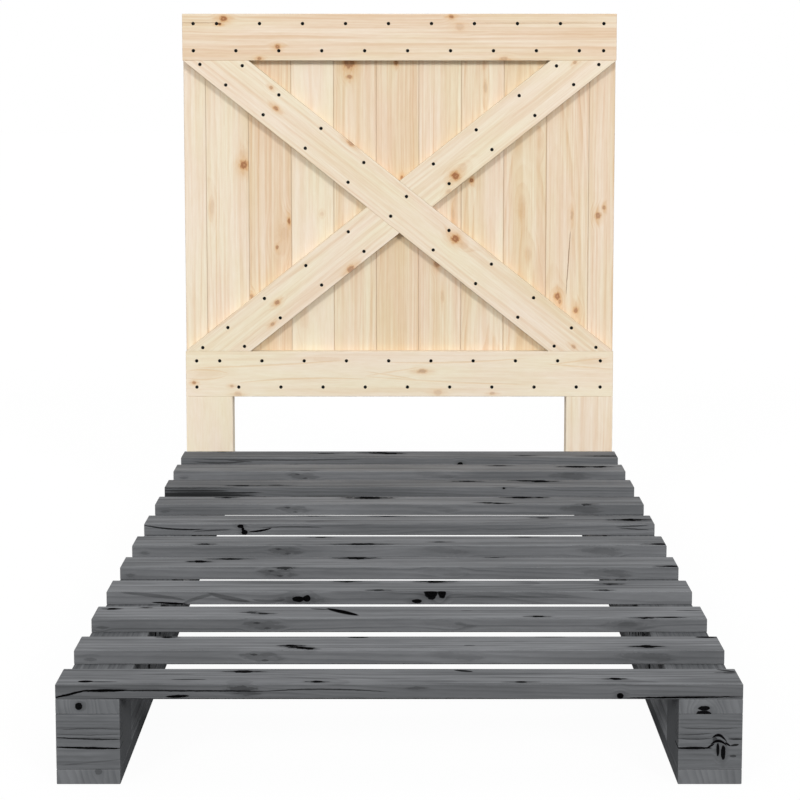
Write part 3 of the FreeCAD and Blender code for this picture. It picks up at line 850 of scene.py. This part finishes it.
# A row of faint grey blotches on the front edges of the plainer slats, as edge_knots reads it.
# Each x is counted from the slat's own place.
BLOTCH_ROW = [
    (-232, -3, 2.6, 1.8, 0.28), (-6, 4, 1.7, 1.6, 0.50), (9, -4, 1.6, 1.8, 0.46),
    (-12, 3, 3.4, 2.4, 0.30), (2, -1, 4.6, 2.2, 0.28), (15, 4, 3, 2.2, 0.24),
    (24, -2, 3.4, 2.2, 0.26), (266, 3, 4.5, 3.6, 0.18), (292, -1, 3.6, 3.2, 0.22),
    (532, 2, 5.5, 3.4, 0.26), (552, -3, 3.5, 3.6, 0.26),
]
BLOTCH_PLACES = {2: -195, 3: -202, 5: -201, 6: -197, 8: -200, 10: -197}
SLAT_TOP_LINES = {
    1: [(-277, -16, 26, 2.4, 0, 0.8), (-307, 13, 42, 1.8, 0, 0.5),
        (-412, -27, 11, 5.5, 0, 1), (-393, -29, 26, 2, 0, 0.9),
        (86, 31, 14, 5, -0.35, 0.9), (160, -30, 10, 4.5, 0, 1),
        (160, -30, 30, 1.8, 0, 0.9), (437, 33, 13, 3.5, -0.5, 0.8)],
    2: [(-35, -27, 158, 1.2, 0, 0.75), (-58, 37, 16, 4.5, 0, 0.95),
        (214, 39, 26, 3, 0, 0.7), (98, -13, 9, 2.4, 0, 0.6),
        (434, 38, 17, 5, 0, 1), (385, -6, 50, 1.6, 0, 0.4)],
    3: [(-84, 5, 27, 12, -0.95, 1), (-118, 24, 16, 4, -0.2, 0.7),
        (430, 14, 22, 2, 0, 0.8), (380, -35, 52, 1.4, 0, 0.8), (100, 14, 10, 2, 0, 0.4)],
    5: [(215, -34, 60, 1, 0, 0.6)],
    9: [(-150, -38, 120, 0.9, 0, 0.6)],
    10: [(378, 14, 24, 1.5, 0, 0.9)],
}
# The lines at height -9.2 along the lower arris of slats 1, 2 and 3 are painted shade under their
# front edges; the others are cracks and dark grain lines.
SLAT_EDGE_LINES = {
    1: [(-430, -3, 26, 1.5, 0.24, 0, 1), (-385, 1.6, 34, 1.8, 0.02, 0, 1),
        (-280, 1.4, 120, 1, -0.005, 0, 0.9), (-290, -6, 17, 1.9, 0.03, 0, 1),
        (-100, 3.4, 92, 0.9, 0, -4, 0.75), (-110, -9.2, 330, 0.8, 0, 0, 0.85),
        (372, -7.4, 86, 1.2, 0.01, 0, 1)],
    2: [(0, -9.2, 450, 0.7, 0, 0, 0.5)],
    3: [(0, -9.2, 450, 0.7, 0, 0, 0.4)],
    4: [(-353, -8, 30, 1.6, -0.05, 0, 1), (-310, 0, 26, 2.8, 0.30, -2, 0.36),
        (-262, 0, 36, 3.4, -0.20, 1.5, 0.46), (-378, 4, 56, 2.6, -0.12, -1.5, 0.38),
        (-200, -5, 28, 2.4, 0, 3.5, 0.36), (170, 2, 110, 1.6, 0, -1.5, 0.30)],
    7: [(-400, 1, 62, 1.4, -0.07, 5, 0.9), (-245, -2, 22, 1.8, 0.16, 2, 1),
        (-330, -1.5, 36, 1.3, 0.05, 0, 0.6), (-190, 5, 60, 1.2, 0, -2, 0.5),
        (410, 6, 32, 1.2, 0.05, 0, 0.6), (414, 1, 30, 1.2, -0.06, 0, 0.6)],
    9: [(-400, 8.6, 110, 1, 0, 0, 0.8), (-410, 3, 90, 2, 0, 0, 0.7),
        (-380, -1.5, 130, 2.4, 0.01, 0, 0.75), (-390, -5.5, 130, 2.6, 0, 0, 0.8),
        (-360, -8.6, 150, 1.2, 0, 0, 0.9), (-140, -8.5, 90, 1.2, 0, 0, 0.85)],
    11: [(-250, 5, 190, 1.4, 0, 2, 0.6), (-210, -6, 30, 2, -0.03, 0, 0.7),
         (-370, -1, 60, 1.6, 0, 3, 0.55), (-345, -6.5, 40, 1.3, 0.05, 0, 0.6),
         (-330, 3, 30, 1.4, -0.08, 0, 0.5)],
}


def make_slats():
    for number, (pith, spacing, taper, sway, tone) in SLAT_WOOD.items():
        board = Board(
            f"slat_{number:02d}", ALONG_X_FLAT, number, pith, spacing, taper, sway, tone, GREY,
            side=SLAT_SIDE_SHADES.get(number, SLAT_SIDE_SHADE),
        )
        top_knots(board, SLAT_TOP_KNOTS.get(number, []))
        edge_knots(board, SLAT_EDGE_KNOTS.get(number, []))
        if number in BLOTCH_PLACES:
            start = BLOTCH_PLACES[number]
            edge_knots(board, [(start + x, *rest) for x, *rest in BLOTCH_ROW])
        top_cracks(board, SLAT_TOP_LINES.get(number, []))
        edge_cracks_and_shade_lines(board, SLAT_EDGE_LINES.get(number, []))
        board.paint()


# Runners: the boards of each half with their directions, pith place, ring spacing and tone in
# the left and in the right runner. The end block is named after the end that it lies at.
RUNNER_BOARDS = [
    ("bottom_board", ALONG_Y_FLAT, (230, -60), 9.0, (0.85, 0.85)),
    ("top_board", ALONG_Y_FLAT, (-210, 50), 8.0, (0.85, 0.85)),
    ("end_block", ALONG_X_UPRIGHT, (-60, 95), 5.5, (1.12, 1.12)),
    ("joint_block", ALONG_X_UPRIGHT, (50, 90), 5.0, (0.6, 0.6)),
    ("inner_side", ALONG_Y_UPRIGHT, (10, -60), 5.0, (0.62, 0.08)),
    ("outer_side", ALONG_Y_UPRIGHT, (-15, -70), 5.0, (0.5, 0.5)),
]
END_BLOCKS = {"front": "foot_block", "rear": "head_block"}
RUNNER_SEED = 21
RUNNER_TAPER = 0.01
RUNNER_SWAY = 16

# Knots in the ends of the top and bottom boards, where they face the foot end: x, z, half
# width, half height, strength.
FOOT_END = -1030
FOOT_KNOT_DEPTH = 40.0
FOOT_BOARD_KNOTS = {
    "left_front_top_board": [(-419.5, 105, 5, 5, 1), (-416.5, 105, 8, 7.5, 0.25)],
    "right_front_top_board": [(399, 94, 10.5, 5.6, 1), (399, 102.5, 7.5, 3, 1)],
    "left_front_bottom_board": [(-395, 17, 5, 4, 0.36)],
}

# Marks on the fronts of blocks, battens and braces, as face_knots and face_cracks read them.
FRONT_KNOTS = {
    "right_front_foot_block": [
        (418, 47, 8.5, 0.24, 0.9), (425, 43, 10.5, 0.28, 1), (414, 60, 4, 0.8, 0.5),
    ],
    "headboard_top_batten": [
        (-360, 1030, 8.5, 1.2, 0.90), (-368, 1019, 4, 1.6, 0.97), (-250, 973, 6.5, 1.2, 0.78),
        (-287, 949, 4.5, 1.4, 0.7), (106, 1034, 6, 1.2, 0.78), (124, 1014, 9, 1.3, 0.30),
        (214, 948, 6, 1.8, 0.4),
    ],
    "headboard_bottom_batten": [
        (-428, 279, 4.5, 1.2, 0.72), (-350, 272, 4, 1.4, 0.45), (-337, 255, 6, 1.6, 0.35),
        (47, 303, 6, 2.2, 0.50), (80, 259, 7, 1.6, 0.32), (194, 257, 4, 2, 0.40),
        (400, 325, 9, 4, 0.16), (-150, 328, 6, 6, 0.16), (-400, 300, 12, 2.4, 0.14),
    ],
    "brace_long": [
        (-264, 890, 4.5, 1.2, 0.6), (-254, 848, 6, 1.5, 0.75), (-101, 776, 5, 2.2, 0.65),
        (115, 580, 12, 1, 0.92), (133, 566, 9, 1.3, 0.22), (362, 355, 5, 1.4, 0.5),
    ],
    "brace_upper": [
        (116, 709, 12, 1, 0.92), (130, 727, 9, 1.4, 0.22), (101, 678, 5, 1.6, 0.35),
        (360, 941, 4.5, 1.3, 0.55),
    ],
    "brace_lower": [
        (-254, 447, 6.5, 1.2, 0.72), (-264, 402, 4.5, 1.6, 0.55), (-101, 517, 8, 1.5, 0.70),
    ],
}
FRONT_LINES = {
    "left_front_foot_block": [
        (-408, 49, 50, 1.5, -0.02, 0.5, 1), (-408, 61, 50, 1.1, -0.03, 1.5, 0.85),
        (-408, 66.5, 48, 0.6, 0, 1.5, 0.45), (-400, 75, 48, 0.7, 0, -1.5, 0.45),
        (-400, 30, 48, 1, 0.10, 0, 0.22),
    ],
    "right_front_foot_block": [
        (386, 49, 27, 1.7, 0, 0, 1), (408, 51.5, 6, 1.4, 0.6, 0, 1),
        (420, 66, 11, 2, -0.30, -8, 1), (419, 58.5, 12, 1.9, -0.05, -7, 1),
        (431, 54, 4, 1.5, -0.6, 0, 1), (386, 61, 26, 0.9, 0, 1, 0.6),
        (386, 67, 26, 0.8, 0.05, 1, 0.5), (408, 75, 42, 0.9, 0, 1.5, 0.5),
        (441, 61, 11, 1.1, 0, 0, 0.8), (440, 53, 6, 1.6, 0.1, 0, 0.9),
        (438, 38, 5, 1.6, 0, 0, 0.6),
    ],
    "headboard_top_batten": [
        (-408, 1021.5, 50, 1.1, 0, 0, 0.62), (284, 1021, 160, 0.8, 0, 0, 0.6),
    ],
    "headboard_bottom_batten": [
        (-270, 316, 170, 1.7, 0.05, 3, 0.36), (-206, 288, 150, 1.6, 0.03, -7, 0.34),
        (-16, 302, 60, 1.6, 0.16, 0, 0.30), (-16, 294, 60, 1.6, -0.16, 0, 0.30),
        (120, 322, 160, 1.7, 0.03, 5, 0.36), (100, 281, 190, 1.6, -0.05, 3, 0.30),
        (375, 325, 70, 1.6, 0.12, -2, 0.34), (375, 313, 75, 1.6, -0.08, 0, 0.32),
        (-398, 306, 48, 1.4, -0.06, -6, 0.34), (-402, 286, 44, 1.4, 0.06, 6, 0.32),
    ],
}

# Knots on the inner faces, which lie this far from the middle: y, z, radius.
INNER_FACE = {"left": -366, "right": 366}
INNER_KNOTS_BOTH = [
    (-640, 66, 8), (-540, 90, 7), (-470, 78, 7), (-250, 44, 8), (330, 62, 8), (640, 50, 7),
]
INNER_KNOTS = {
    "left": INNER_KNOTS_BOTH,
    "right": INNER_KNOTS_BOTH + [
        (-560, 98, 6), (-505, 86, 6), (-425, 70, 6), (-375, 58, 6), (-320, 44, 6),
    ],
}
INNER_KNOT_STRETCH = 1.5
INNER_KNOT_DEPTH = 20.0
INNER_KNOT_STRENGTH = 0.9


def make_runners():
    """Box beams of six boards a half: boards run along the bed, blocks lie across."""
    seed = RUNNER_SEED
    for number, side in enumerate(("left", "right")):
        for half, end_block in END_BLOCKS.items():
            for part, axes, pith, spacing, tones in RUNNER_BOARDS:
                board = Board(
                    f"{side}_{half}_{end_block if part == 'end_block' else part}", axes, seed,
                    pith, spacing, RUNNER_TAPER, RUNNER_SWAY, tones[number], GREY, end=0.0,
                )
                mark_foot_end(board)
                if part == "inner_side":
                    mark_inner_side(board, side)
                finish_board(board)
                seed += 1


def finish_board(board):
    """Adds the marks that the board's front shows and paints it."""
    face_knots(board, FRONT_KNOTS.get(board.node, []))
    face_cracks(board, FRONT_LINES.get(board.node, []))
    board.paint()


def mark_foot_end(board):
    """The dark knots in the ends of the top and bottom boards."""
    for x, z, width, height, strength in FOOT_BOARD_KNOTS.get(board.node, []):
        radii = (FOOT_KNOT_DEPTH, width, height)
        board.knots.append((board.local((x, FOOT_END, z)), radii, strength, ROUND_KNOT))


def mark_inner_side(board, side):
    """The dark knots on a runner's inner face that lie on this board."""
    for y, z, radius in INNER_KNOTS[side]:
        centre = board.local((INNER_FACE[side], y, z))
        if abs(centre[0]) < board.half[0]:
            radii = (radius * INNER_KNOT_STRETCH, radius, INNER_KNOT_DEPTH)
            board.knots.append((centre, radii, INNER_KNOT_STRENGTH, ROUND_KNOT))


# Headboard planks: pith place across and through, ring spacing, taper, sway, tone.
PLANK_WOOD = {
    1: ((70, 60), 6.0, 0.004, 10, 0.22),
    2: ((-60, 90), 6.5, 0.008, 14, 0.26),
    3: ((-85, 70), 5.5, 0.004, 14, 0.80),
    4: ((30, 85), 6.0, -0.020, 18, -0.06),
    5: ((80, 80), 6.0, 0.010, 14, 0.58),
    6: ((-95, 60), 5.0, 0.004, 12, 0.80),
    7: ((100, 70), 5.5, -0.004, 12, 0.42),
    8: ((20, 75), 6.0, 0.030, 18, 0.48),
    9: ((0, 62), 6.5, 0.060, 16, 0.55),
    10: ((-25, 66), 6.5, 0.030, 18, 0.66),
    11: ((60, 60), 6.0, 0.008, 12, 0.60),
}
# Marks on the planks by number, as face_knots and face_cracks read them.
PLANK_KNOTS = {
    2: [(-322, 731, 12.5, 1, 0.88), (-323, 755, 9, 1.1, 0.20), (-389, 643, 6, 3.6, 0.26)],
    3: [(-229, 614, 4.5, 2.2, 0.85), (-240, 592, 15, 1.6, 0.24), (-255, 560, 4.5, 1.2, 0.7),
        (-250, 566, 12, 2.4, 0.14), (-308, 458, 5, 1.4, 0.55)],
    4: [(-161, 630, 4.5, 1.2, 0.25), (-198, 412, 10, 2.6, 0.16)],
    5: [(-103, 940, 16, 1.1, 0.75), (-103, 912, 8, 0.8, 0.7)],
    6: [(-7, 940, 5.5, 1.2, 0.8), (5, 705, 4.5, 1.4, 0.75), (-30, 660, 9, 3, 0.14)],
    7: [(78, 527, 8, 1.3, 0.65), (111, 628, 4, 5, 0.34), (90, 458, 4, 4, 0.28)],
    8: [(177, 890, 4.5, 4, 0.34), (175, 935, 5, 2.4, 0.30), (149, 699, 6.5, 1, 0.88)],
    9: [(254, 644, 10, 3, 0.24), (268, 547, 8, 2.2, 0.24), (291, 778, 7, 2.4, 0.16)],
    10: [(329, 458, 8.5, 1.3, 0.82), (334, 447, 5, 1.5, 0.6), (368, 429, 7, 1.4, 0.75),
         (358, 628, 4, 3.6, 0.4)],
    11: [(412, 626, 8, 1.2, 0.70), (424, 643, 5, 1.3, 0.6)],
}
PLANK_LINES = {
    2: [(-380, 560, 220, 0.7, 0.004, 0, 0.35)],
    3: [(-300, 640, 200, 0.7, 0, 0, 0.3)],
    8: [(180, 850, 90, 0.9, 0.05, 0, 0.3)],
    9: [(228, 640, 120, 0.7, 0, 0, 0.3)],
    10: [(351, 528, 78, 1.1, 0.06, 0, 0.75)],
}
PLANK_SEED = 50
PLANK_JOINT = 0.25

# The other boards: seed, pith place across and through, ring spacing, taper, sway, tone.
BATTEN_WOOD = {
    "headboard_top_batten": (62, (-75, -85), 5.0, 0.006, 14, 0.62),
    "headboard_bottom_batten": (63, (28, -70), 6.5, -0.030, 18, -0.12),
}
BRACE_WOOD = {
    "brace_long": (64, (55, -90), 5.5, 0.010, 16, 0.29),
    "brace_upper": (65, (-45, -95), 6.5, 0.012, 18, 0.08),
    "brace_lower": (66, (50, -85), 6.5, -0.010, 18, 0.15),
}
LEG_WOOD = {
    "headboard_leg_left": (67, (40, 80), 6.5, 0.010, 14, -0.2),
    "headboard_leg_right": (68, (-60, 70), 5.5, -0.010, 14, 0.20),
}
DOWEL_WOOD = {"runner_dowels": (69, (120, 90), 3.0, 0.0, 6, 0.35)}
# Whether a brace falls (-1) or rises (1) as x grows, and how much painted shade darkens its sides.
BRACE_WAYS = {"brace_long": -1, "brace_upper": 1, "brace_lower": 1}
BRACE_SIDE_SHADE = 0.4


def make_planks():
    for number, (pith, spacing, taper, sway, tone) in PLANK_WOOD.items():
        board = Board(
            f"headboard_plank_{number:02d}", ALONG_Z, PLANK_SEED + number, pith, spacing, taper,
            sway, tone, joint=PLANK_JOINT,
        )
        face_knots(board, PLANK_KNOTS.get(number, []))
        face_cracks(board, PLANK_LINES.get(number, []))
        board.paint()


def make_boards(woods, axes, **darkening):
    """Boards that lie the same way, by name."""
    for node, wood in woods.items():
        finish_board(Board(node, axes, *wood, **darkening))


def make_braces():
    slope = math.atan2(BRACE_RISE, BRACE_RUN)
    for node, wood in BRACE_WOOD.items():
        across, up = math.cos(slope), math.sin(slope) * BRACE_WAYS[node]
        axes = (Vector((across, 0, up)), Vector((-up, 0, across)), Vector((0, -1, 0)))
        board = Board(node, axes, *wood, side=BRACE_SIDE_SHADE, end=0.0)
        board.lie_aslant(BRACE_HALF)
        finish_board(board)


def make_metal():
    metal(
        "black_coated_steel", ["headboard_screws"],
        SCREW_BLACK, roughness=0.50, metallic=0.0, scratch=0.2,
    )
    # Painted shade: the zinc-plated joining plates and their screws get a near-black colour, as
    # shade where they show between the slats.
    metal(
        "zinc_plate_painted_shade", ["joining_plates", "joining_plate_screws"],
        PLATE_SHADE_BLACK, roughness=0.45, metallic=1.0, scratch=0.2,
    )
    metal(
        "zinc_plated_steel", ["slat_screws", "runner_screws", "headboard_coach_screws"],
        ZINC, roughness=0.28, metallic=1.0, scratch=0.25,
    )


def make_floor():
    """Pale floor. The camera sees it near white, with a share of the object's shadow in it."""
    bpy.ops.mesh.primitive_plane_add(size=FLOOR_SIZE, location=(0.0, 0.0, -FLOOR_DROP))
    floor = bpy.context.object
    floor.name = "floor"
    material, tree = new_material("pale_floor")
    path = tree.node("ShaderNodeLightPath").outputs
    seen = tree.math("MAXIMUM", path["Is Camera Ray"], path["Is Glossy Ray"])
    seen = tree.math("MAXIMUM", seen, path["Is Transmission Ray"])
    share = tree.times(seen, 1.0 - FLOOR_SHADOW_SHARE)
    matt = tree.node("ShaderNodeBsdfDiffuse", {"Color": tree.mix(seen, FLOOR_COLOUR, WHITE)})
    glow = tree.node("ShaderNodeEmission", {"Strength": FLOOR_GLOW})
    both = tree.node("ShaderNodeMixShader", (share, matt.outputs[0], glow.outputs[0]))
    tree.node("ShaderNodeOutputMaterial", (both.outputs[0],))
    floor.data.materials.append(material)


def make_sky():
    """Even soft light. The camera sees it white."""
    world = bpy.data.worlds.new("sky")
    world.use_nodes = True
    tree = Tree(world.node_tree)
    tree.tree.nodes.clear()
    path = tree.node("ShaderNodeLightPath").outputs
    strength = tree.linear(path["Is Camera Ray"], 1.0 - SKY_STRENGTH, SKY_STRENGTH)
    sky = tree.node("ShaderNodeBackground", {"Color": WHITE, "Strength": strength})
    tree.node("ShaderNodeOutputWorld", (sky.outputs[0],))
    bpy.context.scene.world = world


def make_lamp(name, strength, tilt, spread, angle):
    """A distant lamp, tilted from straight down and turned to one side, with soft shadows."""
    lamp = bpy.data.lights.new(name, "SUN")
    lamp.energy = strength
    lamp.angle = math.radians(angle)
    holder = bpy.data.objects.new(name, lamp)
    holder.rotation_euler = (math.radians(tilt), 0.0, math.radians(spread))
    bpy.context.collection.objects.link(holder)


def make_camera():
    camera = bpy.data.cameras.new("camera")
    camera.lens = CAMERA_LENS
    holder = bpy.data.objects.new("camera", camera)
    holder.location = CAMERA_PLACE
    holder.rotation_euler = (math.radians(CAMERA_TILT), 0.0, 0.0)
    bpy.context.collection.objects.link(holder)
    bpy.context.scene.camera = holder


make_slats()
make_runners()
make_planks()
make_boards(BATTEN_WOOD, ALONG_X_UPRIGHT)
make_braces()
make_boards(LEG_WOOD, ALONG_Z, side=0.0)
make_boards(DOWEL_WOOD, ALONG_Z)
make_metal()
make_floor()
make_sky()
make_lamp("key_left", KEY_STRENGTH, KEY_TILT, -KEY_SPREAD, KEY_ANGLE)
make_lamp("key_right", KEY_STRENGTH, KEY_TILT, KEY_SPREAD, KEY_ANGLE)
make_lamp("top", TOP_STRENGTH, 0.0, 0.0, TOP_ANGLE)
make_camera()
bpy.context.scene.view_settings.view_transform = "Standard"
